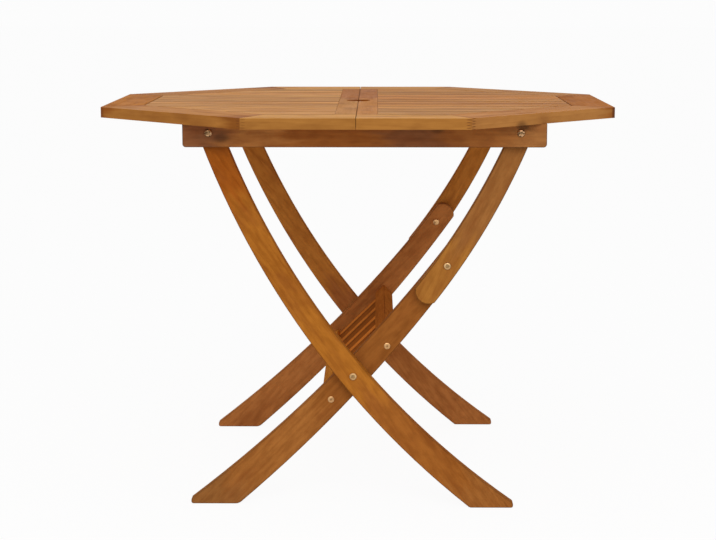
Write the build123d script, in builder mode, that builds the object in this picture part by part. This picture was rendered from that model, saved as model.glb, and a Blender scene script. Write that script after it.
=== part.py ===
from build123d import *
import os
from math import atan2, cos, degrees, hypot, radians, sin, sqrt, tan

# An eight-sided folding garden table in oiled hardwood. The slatted top is made in two halves,
# carried on two rails, and stands on crossed curved legs. One pair of legs is jointed at a knee,
# so that the cross closes and the top comes down.
# Millimetres. X runs to the right along the rails, Y to the back, Z up from the floor.

# The top
top_across = 980.0         # between opposite flat sides
table_height = 750.0
top_thickness = 20.0
frame_width = 90.0         # front, back and corner boards
side_width = 76.0          # the two boards at the far left and far right
seam_width = 38.0          # the two boards that meet in the middle, between the front and back boards
seam_gap = 1.0             # open joint between the halves
parasol_diameter = 46.0
slats_per_half = 11
slat_gap = 4.0
slat_gap_at_seam = 0.2     # between a slat's shoulder and the board it is tongued into
slat_gap_at_side = 2.0
slat_gap_at_corner = 1.2
tongue_length = 10.0       # the part inside the groove
tongue_thickness = 8.0
groove_spare = 1.0         # how much deeper the groove is than the tongue
groove_slack = 0.2         # how much taller the groove is than the tongue
board_arris = 0.5          # small bevel round every upper face
top_corner_round = 5.0     # eased upright edges at the eight corners

# The two rails under the top
rail_inset = 133.8         # from the edge of the top to a rail's outer face
rail_length = 665.0
rail_end = 47.5            # from a rail's end to its bolt
rail_height = 43.0
rail_shift = 14.5          # rails and legs sit this far to the right of the seam
rail_corner = 6.0
rail_arris = 1.2
stock = 22.0               # thickness of rails and legs
layer_gap = 1.2            # air between one layer of wood and the next

# The linkage, seen from the front
pivot_drop = 17.0          # bolts below the underside of the top
outer_leg_lean = 60.1      # degrees from the level, rail bolt to crossing bolt
cross_reach = 529.0        # rail bolt to crossing bolt
knee_share = 0.4928        # knee bolt along the way from the crossing bolt to the right rail bolt
knee_bow = 28.93           # knee bolt outside that way

# Outer legs, one curve from the rail to the floor
outer_leg_sweep = 1565.0   # radius of the middle line
outer_leg_top = 43.0       # widths
outer_leg_cross = 48.8
outer_leg_sole = 58.4
outer_leg_nose = 11.0      # the round top end is centred this far below the bolt

# Inner legs, from the knee to the floor
inner_leg_sweep = 2628.0
inner_leg_knee = 44.0
inner_leg_cross = 53.4
inner_leg_sole = 66.6
inner_leg_sink = 1.7       # the bolts sit this far above the middle line
inner_leg_head = 46.0      # rounded end past the knee bolt
inner_leg_head_round = 13.0

# Upper links, from the rail to the knee
link_sweep = 1304.0
link_top = 39.6
link_knee = 45.4
link_bow = 4.7             # the middle line passes this far outside the rail bolt
link_nose = 9.0
link_tail = 83.0           # rounded end past the knee bolt
link_tail_round = 14.0

# Feet and edges of the legs
sole_overrun = 60.0        # the outline is drawn past the floor and cut off level
toe_height = 9.0           # the sharp end of the sole is cut off upright at this height
toe_round = 4.0
outer_heel_round = 9.0
inner_heel_round = 18.0
shoulder_round = 5.0       # corners of the rounded ends at the knee
leg_arris = 1.5            # bevel along the edges of legs and links

# Slatted brace between the inner legs
brace_lean = 44.3          # degrees from the level
brace_sink = 6.3           # the brace passes this far below the crossing bolts
brace_bar = 28.0           # square section
brace_bar_up = 78.0        # bars from the crossing bolts, along the brace
brace_bar_down = 65.0
brace_bar_round = 3.0
brace_slats = 6
brace_slat_width = 45.0
brace_end_gap = 15.3       # between the outermost slats and the legs
brace_slat_thickness = 14.0
brace_slat_arris = 1.5
brace_screw_raise = 5.0    # upper screws sit this far up from the bar's middle

# Metal fixings
bolt_diameter = 8.0
bolt_head = 14.0
bolt_head_height = 3.0
head_taper = 25.0          # degrees, sides of the heads of bolts and screws
bolt_socket = 5.0          # across the flats of the hexagon socket
bolt_socket_depth = 1.6
nut_diameter = 14.0
nut_height = 7.0
nut_depth = 4.0            # how far a bolt reaches into its cap nut
nut_bevel = 1.2
insert_diameter = 12.0     # threaded inserts of the inner legs at the crossing
insert_length = 16.0
insert_spare = 1.0         # how far a bolt stops short of its insert's end
screw_diameter = 4.5
screw_head = 12.0
screw_socket = 3.4
screw_socket_depth = 0.6
screw_grip = 30.0          # length in the brace bar
screw_spare = 1.0          # empty end of the screw's hole

# Clearances
running_clearance = 0.05   # round a bolt, on the radius
side_clearance = 0.3       # between a moving leg and the head or nut beside it
knee_clearance = 0.3       # the two halves of the knee pivot stop short of the joint face

# Heights and layers that follow from these
underside = table_height - top_thickness
half_across = top_across / 2
corner = half_across * tan(radians(22.5))
groove_floor = underside + (top_thickness - tongue_thickness) / 2
pivot_height = underside - pivot_drop
rail_face = half_across - rail_inset
rail_layer = rail_face - stock
leg_face = rail_layer - layer_gap
outer_layer = leg_face - stock
inner_leg_face = outer_layer - layer_gap
inner_layer = inner_leg_face - stock
bolt_bore = bolt_diameter / 2 + running_clearance
screw_bore = screw_diameter / 2 + running_clearance
insert_bore = insert_diameter / 2 + running_clearance
screw_head_height = layer_gap - side_clearance  # the outer legs pass over these heads
sides = ("front", "back")
halves = (("left", -1), ("right", 1))


def step_along(start, turn, distance):
    """The point at a distance from another, in a direction given in degrees."""
    return start[0] + distance * cos(radians(turn)), start[1] + distance * sin(radians(turn))


def direction(start, end):
    return degrees(atan2(end[1] - start[1], end[0] - start[0])) % 360


def distance(start, end):
    return hypot(end[0] - start[0], end[1] - start[1])


def sweep_centre(start, end, radius):
    """Centre of the arc through two points that bends to the left of the way between them."""
    middle = ((start[0] + end[0]) / 2, (start[1] + end[1]) / 2)
    height = sqrt(radius ** 2 - (distance(start, end) / 2) ** 2)
    return step_along(middle, direction(start, end) + 90, height)


def between(start, end, share, bow):
    """The point at a share of the way between two others, moved out to the right of that way."""
    on_way = step_along(start, direction(start, end), share * distance(start, end))
    return step_along(on_way, direction(start, end) - 90, bow)


def circle_through(first, second, third):
    """Centre and radius of the circle through three points."""
    to_second = (second[0] - first[0], second[1] - first[1])
    to_third = (third[0] - first[0], third[1] - first[1])
    area = 2 * (to_second[0] * to_third[1] - to_second[1] * to_third[0])
    second_square = to_second[0] ** 2 + to_second[1] ** 2
    third_square = to_third[0] ** 2 + to_third[1] ** 2
    right = (to_third[1] * second_square - to_second[1] * third_square) / area
    up = (to_second[0] * third_square - to_third[0] * second_square) / area
    return (first[0] + right, first[1] + up), hypot(right, up)


# Bolt centres in the plane of the legs, as X and Z
rail_bolt_left = (rail_shift - rail_length / 2 + rail_end, pivot_height)
rail_bolt_right = (rail_shift + rail_length / 2 - rail_end, pivot_height)
crossing = step_along(rail_bolt_left, -outer_leg_lean, cross_reach)
knee = between(crossing, rail_bolt_right, knee_share, knee_bow)

# Bar and screw centres of the brace
brace_line = step_along(crossing, brace_lean - 90, brace_sink)
upper_bar = step_along(brace_line, brace_lean, brace_bar_up)
lower_bar = step_along(brace_line, brace_lean + 180, brace_bar_down)
upper_screw = step_along(upper_bar, brace_lean, brace_screw_raise)
brace_middle = ((upper_bar[0] + lower_bar[0]) / 2, (upper_bar[1] + lower_bar[1]) / 2)
brace_span = distance(upper_bar, lower_bar) - brace_bar
brace_slat_pitch = (2 * inner_layer - 2 * brace_end_gap - brace_slat_width) / (brace_slats - 1)


def curved_outline(centre, radius, stations, top_end, bottom_end=None, knee_end=None):
    """Curved strip through stations of turn and width; each end is an arc over a point or a line."""
    outside = [step_along(centre, turn, radius + width / 2) for turn, width in stations]
    inside = [step_along(centre, turn, radius - width / 2) for turn, width in stations]
    with BuildSketch() as outline:
        with BuildLine():
            ThreePointArc(*outside)
            ThreePointArc(*inside)
            ThreePointArc(outside[0], top_end, inside[0])
            if bottom_end:
                ThreePointArc(outside[-1], bottom_end, inside[-1])
            else:
                Line(outside[-1], inside[-1])
        make_face()
        if knee_end:
            fillet(outline.vertices().sort_by_distance(knee_end)[:2], shoulder_round)
    return outline.sketch


def toe_place(centre, radius, stations, side):
    """How far to the side the leg's upper edge has come when it is down to the toe's height."""
    edge = [step_along(centre, turn, radius - width / 2) for turn, width in stations]
    edge_centre, edge_radius = circle_through(*edge)
    return edge_centre[0] - side * sqrt(edge_radius ** 2 - (toe_height - edge_centre[1]) ** 2)


def on_floor(outline, toe, side, heel_round):
    """The same leg with a level sole, a blunt toe and a rounded heel."""
    room = top_across
    with BuildSketch() as foot:
        add(outline)
        with Locations((0, -room / 2)):
            Rectangle(2 * room, room, mode=Mode.SUBTRACT)
        with Locations((toe + side * room / 2, 0)):
            Rectangle(room, table_height / 4, mode=Mode.SUBTRACT)
        fillet(foot.vertices().sort_by_distance((toe, 0))[:2], toe_round)
        heel = foot.vertices().group_by(Axis.Y)[0].sort_by_distance((toe, 0))[-1]
        fillet(heel, heel_round)
    return foot.sketch


def turned(radius, length):
    """The angle in degrees that a length takes up along an arc."""
    return degrees(length / radius)


# Outer leg: the turn grows from the rail bolt to the floor
outer_centre = sweep_centre(rail_bolt_left, crossing, outer_leg_sweep)
outer_start = direction(outer_centre, rail_bolt_left) + turned(outer_leg_sweep, outer_leg_nose)
outer_mid = direction(outer_centre, crossing)
outer_floor = 180 + degrees(atan2(outer_centre[1], sqrt(outer_leg_sweep ** 2 - outer_centre[1] ** 2)))
outer_end = outer_floor + turned(outer_leg_sweep, sole_overrun)
outer_apex = outer_start - turned(outer_leg_sweep, outer_leg_top / 2)
outer_stations = (
    (outer_start, outer_leg_top),
    (outer_mid, outer_leg_cross),
    (outer_end, outer_leg_sole),
)
outer_leg_outline = on_floor(
    curved_outline(
        outer_centre,
        outer_leg_sweep,
        outer_stations,
        step_along(outer_centre, outer_apex, outer_leg_sweep),
    ),
    toe_place(outer_centre, outer_leg_sweep, outer_stations, 1),
    1,
    outer_heel_round,
)

# Inner leg: the turn falls from the knee to the floor
inner_centre = sweep_centre(crossing, knee, inner_leg_sweep - inner_leg_sink)
inner_knee_turn = direction(inner_centre, knee)
inner_shoulder = turned(inner_leg_sweep, inner_leg_head - inner_leg_head_round)
inner_start = inner_knee_turn + inner_shoulder
inner_mid = direction(inner_centre, crossing)
inner_floor = 360 - degrees(atan2(inner_centre[1], sqrt(inner_leg_sweep ** 2 - inner_centre[1] ** 2)))
inner_end = inner_floor - turned(inner_leg_sweep, sole_overrun)
inner_apex = inner_knee_turn + turned(inner_leg_sweep, inner_leg_head)
inner_head = step_along(inner_centre, inner_apex, inner_leg_sweep)
inner_stations = (
    (inner_start, inner_leg_knee),
    (inner_mid, inner_leg_cross),
    (inner_end, inner_leg_sole),
)
inner_leg_outline = on_floor(
    curved_outline(
        inner_centre,
        inner_leg_sweep,
        inner_stations,
        inner_head,
        knee_end=inner_head,
    ),
    toe_place(inner_centre, inner_leg_sweep, inner_stations, -1),
    -1,
    inner_heel_round,
)

# Upper link: the turn falls from the rail bolt to the tail below the knee
link_line_end = step_along(rail_bolt_right, direction(knee, rail_bolt_right) - 90, link_bow)
link_centre = sweep_centre(knee, link_line_end, link_sweep)
link_start = direction(link_centre, link_line_end) - turned(link_sweep, link_nose)
link_knee_turn = direction(link_centre, knee)
link_mid = (link_start + link_knee_turn) / 2
link_end = link_knee_turn - turned(link_sweep, link_tail - link_tail_round)
link_apex = link_start + turned(link_sweep, link_top / 2)
link_foot = step_along(link_centre, link_knee_turn - turned(link_sweep, link_tail), link_sweep)
link_outline = curved_outline(
    link_centre,
    link_sweep,
    ((link_start, link_top), (link_mid, (link_top + link_knee) / 2), (link_end, link_knee)),
    step_along(link_centre, link_apex, link_sweep),
    link_foot,
    link_foot,
)


def layer_plane(side, layer):
    """Plane from which a piece of stock grows forwards, for the front or the back layer."""
    return Plane.XZ.offset(layer if side == "front" else -layer - stock)


def inward(side, centre, depth):
    """Place on a face at a depth from the middle, with the axis pointing to the middle."""
    if side == "front":
        return Location((centre[0], -depth, centre[1]), (-90, 0, 0))
    return Location((centre[0], depth, centre[1]), (90, 0, 0))


def outward(side, centre, depth):
    """Place on a face at a depth from the middle, with the axis pointing away from the middle."""
    if side == "front":
        return Location((centre[0], -depth, centre[1]), (90, 0, 0))
    return Location((centre[0], depth, centre[1]), (-90, 0, 0))


def opening(half, at_seam, at_side, at_corner):
    """The space for slats in one half of the top, grown at the seam, side and corner boards."""
    near = seam_gap / 2 + seam_width - at_seam
    far = half_across - side_width + at_side
    deep = half_across - frame_width
    slope = half_across + corner - (frame_width - at_corner) * sqrt(2)
    edge = ((near, -deep), (slope - deep, -deep), (far, far - slope))
    ring = edge + tuple((x, -y) for x, y in reversed(edge))
    with BuildSketch() as space:
        with BuildLine():
            Polyline(*[(half * x, y) for x, y in ring], close=True)
        make_face()
    return space.sketch


# Frame boards of the top, drawn for the right half and mirrored for the left
inner_front = half_across - frame_width
inner_side = half_across - side_width
inner_slope = half_across + corner - frame_width * sqrt(2)
seam_edge = seam_gap / 2 + seam_width
side_shape = (
    (half_across, -corner),
    (half_across, corner),
    (inner_side, inner_slope - inner_side),
    (inner_side, inner_side - inner_slope),
)
corner_shape = (
    (half_across, corner),
    (corner, half_across),
    (inner_slope - inner_front, inner_front),
    (inner_side, inner_slope - inner_side),
)
end_shape = (
    (corner, half_across),
    (seam_gap / 2, half_across),
    (seam_gap / 2, inner_front),
    (inner_slope - inner_front, inner_front),
)
seam_shape = (
    (seam_edge, -inner_front),
    (seam_edge, inner_front),
    (seam_gap / 2, inner_front),
    (seam_gap / 2, -inner_front),
)
board_shapes = (
    ("side_board", side_shape, 1),
    ("back_corner_board", corner_shape, 1),
    ("front_corner_board", corner_shape, -1),
    ("back_board", end_shape, 1),
    ("front_board", end_shape, -1),
    ("seam_board", seam_shape, 1),
)

octagon = ((half_across, -corner), (half_across, corner), (corner, half_across), (-corner, half_across))
with BuildSketch() as top_plan:
    with BuildLine():
        Polyline(*octagon, *[(-x, -y) for x, y in octagon], close=True)
    make_face()
    fillet(top_plan.vertices(), top_corner_round)

os.makedirs("parts", exist_ok=True)
groove_depth = tongue_length + groove_spare
for half_name, half in halves:
    groove_plan = opening(half, groove_depth, groove_depth, groove_depth)
    for board_name, shape, depth_sign in board_shapes:
        with BuildPart() as board:
            with BuildSketch(Plane.XY.offset(underside)):
                with BuildLine():
                    Polyline(*[(half * x, depth_sign * y) for x, y in shape], close=True)
                make_face()
                add(top_plan.sketch, mode=Mode.INTERSECT)
                Circle(parasol_diameter / 2, mode=Mode.SUBTRACT)
            extrude(amount=top_thickness)
            chamfer(board.faces().sort_by(Axis.Z)[-1].edges(), board_arris)
            with BuildSketch(Plane.XY.offset(groove_floor)):
                add(groove_plan)
            extrude(amount=tongue_thickness + groove_slack, mode=Mode.SUBTRACT)
        board.part.label = f"{board_name}_{half_name}"
        export_step(board.part, f"parts/{board_name}_{half_name}.step")

# Slats, tongued at both ends into the boards around them
slat_field = 2 * inner_front
slat_width = (slat_field - slat_gap * (slats_per_half + 1)) / slats_per_half
for half_name, half in halves:
    slat_plan = opening(half, -slat_gap_at_seam, -slat_gap_at_side, -slat_gap_at_corner)
    tongue_plan = opening(half, tongue_length, tongue_length, tongue_length)
    for number in range(slats_per_half):
        slat_middle = -inner_front + slat_gap + slat_width / 2 + number * (slat_width + slat_gap)
        with BuildPart() as slat:
            with BuildSketch(Plane.XY.offset(underside)):
                add(slat_plan)
                with Locations((0, slat_middle)):
                    Rectangle(top_across, slat_width, mode=Mode.INTERSECT)
            extrude(amount=top_thickness)
            chamfer(slat.faces().sort_by(Axis.Z)[-1].edges(), board_arris)
            with BuildSketch(Plane.XY.offset(groove_floor)):
                add(tongue_plan)
                with Locations((0, slat_middle)):
                    Rectangle(top_across, slat_width, mode=Mode.INTERSECT)
            extrude(amount=tongue_thickness)
        slat.part.label = f"top_slat_{half_name}_{number + 1}"
        export_step(slat.part, f"parts/top_slat_{half_name}_{number + 1}.step")

# Rails and legs: the same outlines at the front and at the back
for side in sides:
    with BuildPart() as rail:
        with BuildSketch(layer_plane(side, rail_layer)) as rail_face_sketch:
            with Locations((rail_shift, underside - rail_height / 2)):
                Rectangle(rail_length, rail_height)
            fillet(rail_face_sketch.vertices().sort_by(Axis.Y)[:2], rail_corner)
            with Locations(rail_bolt_left, rail_bolt_right):
                Circle(bolt_bore, mode=Mode.SUBTRACT)
        extrude(amount=stock)
        rail_rims = rail.faces().filter_by(Axis.Y)
        lower_rims = rail_rims.edges().filter_by(GeomType.CIRCLE, reverse=True).sort_by(Axis.Z)[:2]
        chamfer(lower_rims, rail_arris)
    rail.part.label = f"{side}_rail"
    export_step(rail.part, f"parts/{side}_rail.step")

    with BuildPart() as outer_leg:
        with BuildSketch(layer_plane(side, outer_layer)):
            add(outer_leg_outline)
            with Locations(rail_bolt_left, crossing):
                Circle(bolt_bore, mode=Mode.SUBTRACT)
        extrude(amount=stock)
        outer_rims = [face.outer_wire().edges() for face in outer_leg.faces().filter_by(Axis.Y)]
        chamfer(outer_rims[0] + outer_rims[1], leg_arris)
    outer_leg.part.label = f"outer_leg_{side}"
    export_step(outer_leg.part, f"parts/outer_leg_{side}.step")

    with BuildPart() as inner_leg:
        with BuildSketch(layer_plane(side, inner_layer)):
            add(inner_leg_outline)
            with Locations(knee):
                Circle(bolt_bore, mode=Mode.SUBTRACT)
            with Locations(upper_screw, lower_bar):
                Circle(screw_bore, mode=Mode.SUBTRACT)
        extrude(amount=stock)
        inner_rims = [face.outer_wire().edges() for face in inner_leg.faces().filter_by(Axis.Y)]
        chamfer(inner_rims[0] + inner_rims[1], leg_arris)
        with Locations(inward(side, crossing, inner_leg_face)):
            Cylinder(
                insert_bore,
                insert_length,
                align=(Align.CENTER, Align.CENTER, Align.MIN),
                mode=Mode.SUBTRACT,
            )
    inner_leg.part.label = f"inner_leg_{side}"
    export_step(inner_leg.part, f"parts/inner_leg_{side}.step")

    with BuildPart() as link:
        with BuildSketch(layer_plane(side, outer_layer)):
            add(link_outline)
            with Locations(rail_bolt_right, knee):
                Circle(bolt_bore, mode=Mode.SUBTRACT)
        extrude(amount=stock)
        link_rims = [face.outer_wire().edges() for face in link.faces().filter_by(Axis.Y)]
        chamfer(link_rims[0] + link_rims[1], leg_arris)
    link.part.label = f"upper_link_{side}"
    export_step(link.part, f"parts/upper_link_{side}.step")

# Brace: two square bars between the inner legs
for bar_name, bar_centre, screw_centre in (
    ("upper_brace_bar", upper_bar, upper_screw),
    ("lower_brace_bar", lower_bar, lower_bar),
):
    with BuildPart() as bar:
        with BuildSketch(Plane.XZ.offset(-inner_layer)):
            with Locations(bar_centre):
                RectangleRounded(brace_bar, brace_bar, brace_bar_round, rotation=brace_lean)
        extrude(amount=2 * inner_layer)
        with Locations(*[inward(side, screw_centre, inner_layer) for side in sides]):
            Cylinder(
                screw_bore,
                screw_grip + screw_spare,
                align=(Align.CENTER, Align.CENTER, Align.MIN),
                mode=Mode.SUBTRACT,
            )
    bar.part.label = bar_name
    export_step(bar.part, f"parts/{bar_name}.step")

# Brace slats from bar to bar; the middle gap lets a parasol pole pass
for number in range(brace_slats):
    slat_back = (number - (brace_slats - 1) / 2) * brace_slat_pitch + brace_slat_width / 2
    with BuildPart() as brace_slat:
        with BuildSketch(Plane.XZ.offset(-slat_back)):
            with Locations(brace_middle):
                Rectangle(brace_span, brace_slat_thickness, rotation=brace_lean)
        extrude(amount=brace_slat_width)
        slat_sides = brace_slat.faces().filter_by(Axis.Y).edges()
        long_edges = slat_sides.group_by(SortBy.LENGTH)[-1]
        chamfer(long_edges, brace_slat_arris)
    brace_slat.part.label = f"brace_slat_{number + 1}"
    export_step(brace_slat.part, f"parts/brace_slat_{number + 1}.step")


def headed_pin(diameter, length, head, head_height, socket, socket_depth):
    """A pin with a round socket head; the head's seat is at the origin and the pin points up."""
    with BuildPart() as pin:
        with BuildSketch():
            Circle(diameter / 2)
        extrude(amount=length)
        with BuildSketch():
            Circle(head / 2)
        extrude(amount=-head_height, taper=head_taper)
        with BuildSketch(Plane.XY.offset(-head_height)):
            RegularPolygon(socket / 2, 6, major_radius=False)
        extrude(amount=socket_depth, mode=Mode.SUBTRACT)
    return pin.part


def cap_nut():
    """A round blind nut; its open face is at the origin and its cap points up."""
    with BuildPart() as nut:
        with BuildSketch():
            Circle(nut_diameter / 2)
        extrude(amount=nut_height)
        chamfer(nut.edges().sort_by(Axis.Z)[-1], nut_bevel)
        with BuildSketch():
            Circle(bolt_bore)
        extrude(amount=nut_depth, mode=Mode.SUBTRACT)
    return nut.part


def insert_nut():
    """A threaded sleeve for a blind hole; its open end is at the origin and it points up."""
    with BuildPart() as insert:
        with BuildSketch():
            Circle(insert_diameter / 2)
            Circle(bolt_bore, mode=Mode.SUBTRACT)
        extrude(amount=insert_length)
    return insert.part


head_sizes = (bolt_head, bolt_head_height, bolt_socket, bolt_socket_depth)
pivot_bolt = headed_pin(bolt_diameter, 2 * stock + layer_gap + side_clearance + nut_depth, *head_sizes)
crossing_length = side_clearance + stock + layer_gap + insert_length - insert_spare
crossing_bolt = headed_pin(bolt_diameter, crossing_length, *head_sizes)
knee_half = headed_pin(bolt_diameter, stock - knee_clearance, *head_sizes)
pivot_nut = cap_nut()
brace_screw = headed_pin(
    screw_diameter,
    stock + screw_grip,
    screw_head,
    screw_head_height,
    screw_socket,
    screw_socket_depth,
)

rail_bolts = (rail_bolt_left, rail_bolt_right)
fixings = (
    ("rail_pivot_bolts", pivot_bolt, [inward(side, at, rail_face) for side in sides for at in rail_bolts]),
    (
        "rail_pivot_nuts",
        pivot_nut,
        [inward(side, at, outer_layer - side_clearance) for side in sides for at in rail_bolts],
    ),
    ("crossing_bolts", crossing_bolt, [inward(side, crossing, leg_face + side_clearance) for side in sides]),
    ("crossing_nuts", insert_nut(), [inward(side, crossing, inner_leg_face) for side in sides]),
    ("knee_bolt_front", knee_half, [inward("front", knee, leg_face)]),
    ("knee_bolt_back", knee_half, [inward("back", knee, leg_face)]),
    ("knee_sleeve_nuts", knee_half, [outward(side, knee, inner_layer) for side in sides]),
    (
        "brace_screws",
        brace_screw,
        [inward(side, at, inner_leg_face) for side in sides for at in (upper_screw, lower_bar)],
    ),
)
for fixing_name, fixing, places in fixings:
    with BuildPart() as group:
        with Locations(*places):
            add(fixing)
    group.part.label = fixing_name
    export_step(group.part, f"parts/{fixing_name}.step")
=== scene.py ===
# %% [markdown]
# A folding garden table: a slatted, eight-sided top on crossed, curved legs of oiled hardwood.
# Its wood is already modelled as solids, so this lesson dresses them: wood finishes that follow
# each board's own grain, turned metal fixings, light and a camera. The solids are loaded first,
# and the box of each can be read from its points.

# %% Load the table
import bpy
import math
import random
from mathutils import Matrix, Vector


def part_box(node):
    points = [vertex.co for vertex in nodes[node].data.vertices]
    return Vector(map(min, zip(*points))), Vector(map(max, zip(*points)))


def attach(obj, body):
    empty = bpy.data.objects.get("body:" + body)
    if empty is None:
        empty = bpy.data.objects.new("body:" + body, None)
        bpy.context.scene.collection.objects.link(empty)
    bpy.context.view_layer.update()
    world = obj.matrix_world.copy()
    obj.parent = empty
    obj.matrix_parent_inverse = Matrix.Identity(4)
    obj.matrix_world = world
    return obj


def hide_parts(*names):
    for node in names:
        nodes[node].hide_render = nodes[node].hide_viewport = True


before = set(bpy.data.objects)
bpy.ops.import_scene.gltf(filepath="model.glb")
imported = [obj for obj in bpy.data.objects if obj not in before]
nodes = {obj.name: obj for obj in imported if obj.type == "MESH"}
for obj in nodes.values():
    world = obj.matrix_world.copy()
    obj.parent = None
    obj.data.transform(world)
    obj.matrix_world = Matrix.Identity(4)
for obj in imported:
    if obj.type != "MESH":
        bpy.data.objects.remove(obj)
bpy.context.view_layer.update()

# %% [markdown]
# Blender's node trees are graphs, and graphs are tedious to write out link by link. They could be
# drawn by hand in the editor, but then they wouldn't be in the script. A small class that wraps a
# socket lets us write the maths as ordinary expressions: a plus b adds a Math node and wires it
# up. The reflected forms let a plain number stand first, as in one minus a mask.

# %% Sums on sockets
class Wire:
    """An output socket that can be used in sums."""

    def __init__(self, bench, socket):
        self.bench = bench
        self.socket = socket

    def maths(self, operation, *others):
        """A Math node with this wire as its first value."""
        values = dict(enumerate((self, *others)))
        return self.bench.add("ShaderNodeMath", {"operation": operation}, values)

    def __add__(self, other):
        return self.maths("ADD", other)

    def __sub__(self, other):
        return self.maths("SUBTRACT", other)

    def __mul__(self, other):
        return self.maths("MULTIPLY", other)

    def __truediv__(self, other):
        return self.maths("DIVIDE", other)

    def __pow__(self, other):
        return self.maths("POWER", other)

    def __abs__(self):
        return self.maths("ABSOLUTE")

    def after(self, first, operation):
        """A Math node with this wire as its second value."""
        return self.bench.add("ShaderNodeMath", {"operation": operation}, {0: first, 1: self})

    def __rsub__(self, other):
        return self.after(other, "SUBTRACT")

    def __rtruediv__(self, other):
        return self.after(other, "DIVIDE")

    def __rpow__(self, other):
        return self.after(other, "POWER")

    __radd__ = __add__
    __rmul__ = __mul__


print("sockets can be added, scaled and compared")

# %% [markdown]
# Every other kind of node comes from one method of a bench, which stands for the tree that is
# being built. It takes the node's type, its settings, and the numbers or wires for its sockets. A
# few short methods name what the finishes use most: a soft step, a blend of two colours, and sums
# of vectors. Wood, metal, floor and bolts are all built on such a bench.

# %% A bench for nodes
class Bench:
    """A node tree under construction."""

    def __init__(self, tree):
        self.tree = tree

    def add(self, kind, settings=None, sockets=None, out=0):
        """A node of any kind, and the wire from one of its outputs."""
        node = self.tree.nodes.new(kind)
        for name, value in (settings or {}).items():
            setattr(node, name, value)
        for name, value in (sockets or {}).items():
            if isinstance(value, Wire):
                self.tree.links.new(value.socket, node.inputs[name])
            else:
                node.inputs[name].default_value = value
        return Wire(self, node.outputs[out])

    def ramp(self, value, low, high):
        """0 at low and before it, 1 at high and past it, and a smooth rise between them."""
        limits = {"Value": value, "From Min": low, "From Max": high}
        return self.add("ShaderNodeMapRange", {"interpolation_type": "SMOOTHSTEP"}, limits)

    def blend(self, share, first, second):
        """A colour between two others."""
        return self.add("ShaderNodeMix", {"data_type": "RGBA"}, {0: share, 6: first, 7: second}, 2)

    def vector(self, operation, first, second, out=0):
        return self.add("ShaderNodeVectorMath", {"operation": operation}, {0: first, 1: second}, out)

    def dot(self, first, second):
        return self.vector("DOT_PRODUCT", first, second, "Value")

    def feed(self, wire, shader, name):
        self.tree.links.new(wire.socket, shader.inputs[name])


def new_finish(name):
    """A material, its main shader and a bench for its nodes."""
    finish = bpy.data.materials.new(name)
    finish.use_nodes = True
    return finish, finish.node_tree.nodes["Principled BSDF"], Bench(finish.node_tree)


def dress(node, finish):
    """Gives one of the table's solids its finish."""
    for place in nodes[node].material_slots:
        place.material = finish


print("bench: any node, soft steps, blends and vectors")

# %% [markdown]
# Wood is a solid, so its pattern should run through a board and not be wrapped around it like
# paper. Each board gets three directions of its own: along its grain, across it and through its
# thickness. Measured in these, one noise that is stretched along the grain serves for everything
# from clouds to pores. Each board draws its own shifts, so no two show the same piece of it.

# %% Directions of a board
SHIFTS = (0, 90)
NOISE_ROUGHNESS = 0.55


class Grain:
    """The directions of one board, and noise that follows them."""

    def __init__(self, bench, centre, along_axis, through_axis, chance):
        across_axis = Vector(through_axis).cross(Vector(along_axis))
        self.bench = bench
        self.chance = chance
        self.where = bench.add("ShaderNodeTexCoord", None, None, "Object")
        local = bench.vector("SUBTRACT", self.where, centre)
        facing = bench.add("ShaderNodeTexCoord", None, None, "Normal")
        self.along = bench.dot(local, along_axis)
        self.across = bench.dot(local, across_axis)
        self.through = bench.dot(local, through_axis)
        self.end_facing = abs(bench.dot(facing, along_axis))
        self.face_facing = abs(bench.dot(facing, through_axis))
        self.edge_facing = abs(bench.dot(facing, across_axis))

    def noise(self, along, across, detail):
        """Noise with so many changes per metre along the grain and across it."""
        shift = self.chance.uniform(*SHIFTS)
        lengthwise = self.along * along + shift
        crosswise = self.across * across + shift
        parts = {0: lengthwise, 1: crosswise, 2: self.through * across}
        at = self.bench.add("ShaderNodeCombineXYZ", None, parts)
        look = {"Vector": at, "Scale": 1.0, "Detail": detail, "Roughness": NOISE_ROUGHNESS}
        return self.bench.add("ShaderNodeTexNoise", None, look)


print("directions: along, across and through")

# %% [markdown]
# Growth rings are circles about the pith, the middle of the trunk. Blender has a texture of rings,
# but a distance that we work out ourselves can lean: the pith lies somewhere below the board and
# slopes a little along it, so the faces show long flames and the ends show arcs, as sawn boards
# do. Within each year the wood darkens slowly, and then the next year starts pale again.

# %% Growth rings
PITH_SIDE = (-0.03, 0.03)
PITH_DEPTH = (-0.08, -0.03)
PITH_SLOPE = (-0.06, 0.06)
PITH_DIP = 0.4
PITH_SWAY = 0.03
RING_WIDTH = (0.007, 0.013)
RING_SWAY = 4.0
LATE_RISE = 2.5


def growth_rings(grain, bend):
    """Rises through each year's growth and falls back at its end."""
    side = grain.chance.uniform(*PITH_SIDE)
    depth = grain.chance.uniform(*PITH_DEPTH)
    slope = grain.chance.uniform(*PITH_SLOPE)
    width = grain.chance.uniform(*RING_WIDTH)
    over = grain.across - side - grain.along * slope + bend * PITH_SWAY
    down = grain.through - depth + grain.along * (PITH_DIP * slope)
    reach = (over * over + down * down) ** 0.5
    year = (reach / width + bend * RING_SWAY).maths("FRACT")
    return year ** LATE_RISE


print("rings:", [round(width * 1000) for width in RING_WIDTH], "mm wide")

# %% [markdown]
# The figure of a board is all its patterns together: rings, broad clouds, streaks, a fine mottle,
# fibres, pores and reddish patches. A table gives each pattern's changes per metre along the grain
# and across it, the noise's detail, and where its soft step starts and ends. How dark the wood is
# at a point is then a weighted sum. Each pattern can be tried alone by leaving the others out.

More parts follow.
